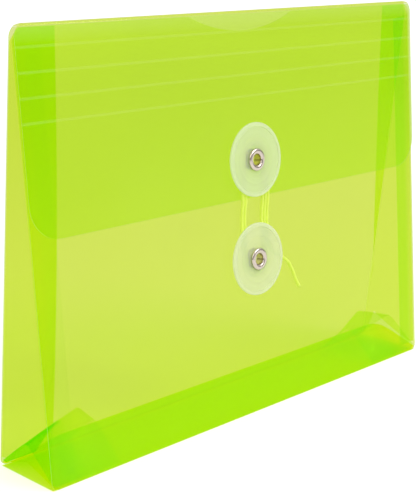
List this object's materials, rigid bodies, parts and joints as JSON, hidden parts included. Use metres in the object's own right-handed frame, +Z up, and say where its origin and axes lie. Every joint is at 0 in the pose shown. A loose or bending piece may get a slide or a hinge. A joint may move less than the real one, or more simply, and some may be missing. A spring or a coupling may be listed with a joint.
{
  "type": "plastic envelope",
  "caption": "Gusseted booklet envelope of creased translucent film, its flap shut by a cord wound between discs on eyelets, standing slightly open.",
  "frame": {"origin": "under the middle of the part, on the surface that the envelope stands on", "axes": "+X along the envelope's length, +Y from the flap side to the plain back, +Z up"},
  "size_m": [0.1906, 0.0266, 0.1391],
  "materials": {
    "film": "clear lime, satin gloss",
    "gusset_film": "clear lime, satin gloss",
    "tucked_film": "clear lime, several layers",
    "button_plastic": "milky translucent",
    "eyelet_metal": "bright plated",
    "cord": "braided, matte"
  },
  "bodies": {
    "back": {"back_panel": "film", "left_gusset_back": "gusset_film", "right_gusset_back": "gusset_film", "bottom_gusset_back": "gusset_film"},
    "front": {"front_panel": "film", "left_seam_tab": "tucked_film", "right_seam_tab": "tucked_film", "left_gusset_front": "gusset_film", "right_gusset_front": "gusset_film", "bottom_gusset_front": "gusset_film", "left_corner_ear": "tucked_film", "right_corner_ear": "tucked_film", "lower_eyelet": "eyelet_metal", "flap_fold": "film"},
    "flap": {"flap": "film", "upper_eyelet": "eyelet_metal", "tie_string": "cord"},
    "upper_button": {"upper_button": "button_plastic"},
    "lower_button": {"lower_button": "button_plastic"}
  },
  "joints": [
    {"name": "gusset_spread", "type": "hinge", "parent": "back", "child": "front", "pos_m": [0, -0.00035, 0.13806], "axis": [-1, 0, 0], "range_deg": [-10.3, 2], "deforming": ["left_gusset_front", "left_gusset_back", "right_gusset_front", "right_gusset_back", "bottom_gusset_front", "bottom_gusset_back", "left_corner_ear", "right_corner_ear"]},
    {"name": "flap_hinge", "type": "hinge", "parent": "front", "child": "flap", "pos_m": [0, -0.00035, 0.13806], "axis": [-1, 0, 0], "range_deg": [0, 166], "deforming": ["flap_fold", "tie_string"]},
    {"name": "upper_button_spin", "type": "hinge", "parent": "flap", "child": "upper_button", "pos_m": [0.0004, -0.00794, 0.08975], "axis": [0, -0.9958, 0.0912], "continuous": true},
    {"name": "lower_button_spin", "type": "hinge", "parent": "front", "child": "lower_button", "pos_m": [0, -0.01039, 0.05533], "axis": [0, -0.9958, 0.0912], "continuous": true}
  ]
}
